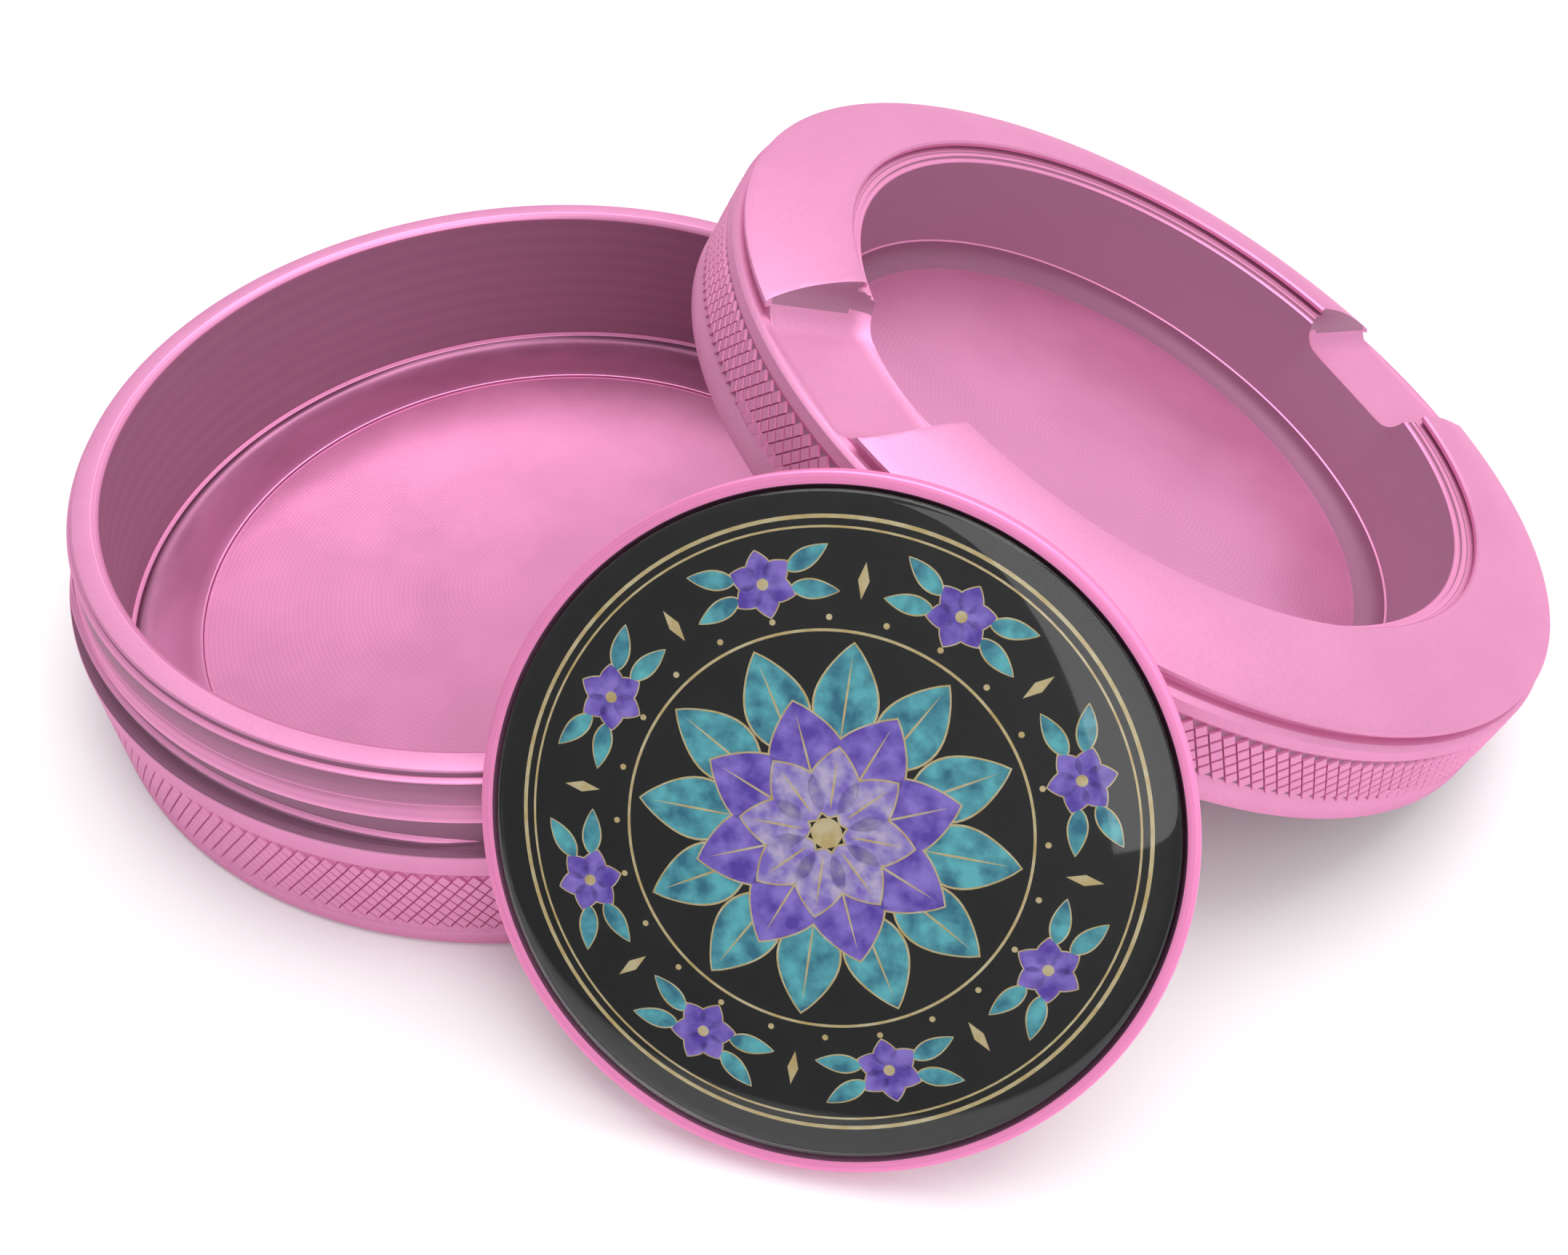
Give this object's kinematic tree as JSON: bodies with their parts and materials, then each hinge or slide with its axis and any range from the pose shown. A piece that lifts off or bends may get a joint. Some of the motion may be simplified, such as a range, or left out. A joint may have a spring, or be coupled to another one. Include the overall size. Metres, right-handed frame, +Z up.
{
  "type": "pocket tin",
  "caption": "Round screw-top pocket tin in anodised aluminium, taken apart: threaded bowl, tray lid with sunken well and finger notches, and a domed printed inlay disc.",
  "frame": {"origin": "centre of the bowl's flat underside, where it stands on the table", "axes": "+Z up along the bowl's axis of revolution; +X towards the tray lid, which leans on the bowl's rim; -Y towards the standing inlay disc"},
  "size_m": [0.1388, 0.1061, 0.0428],
  "materials": {
    "anodised_aluminium": "fine turned and bead blasted, dyed pink, satin",
    "anodised_disc": "turned, dyed pink, satin",
    "silicone": "moulded, matt, translucent white",
    "printed_film": null,
    "clear_resin": "clear cast resin, high gloss"
  },
  "bodies": {
    "bowl": {"bowl": "anodised_aluminium"},
    "tray_carrier": {"lid_gasket": "silicone"},
    "tray": {"tray_lid": "anodised_aluminium"},
    "disc": {"disc_cup": "anodised_disc", "art_print": "printed_film", "clear_dome": "clear_resin"}
  },
  "joints": [
    {"name": "tray_lift", "type": "slide", "parent": "bowl", "child": "tray_carrier", "axis": [0.5423, 0.4446, 0.7129], "range_m": [0, 0.03]},
    {"name": "tray_turn", "type": "hinge", "parent": "tray_carrier", "child": "tray", "pos_m": [0.0586, 0.0014, 0.0257], "axis": [0.3981, 0.0223, 0.9171], "continuous": true},
    {"name": "disc_lift", "type": "slide", "parent": "bowl", "child": "disc", "axis": [-0.182, -0.7883, 0.5878], "range_m": [0, 0.02]}
  ]
}
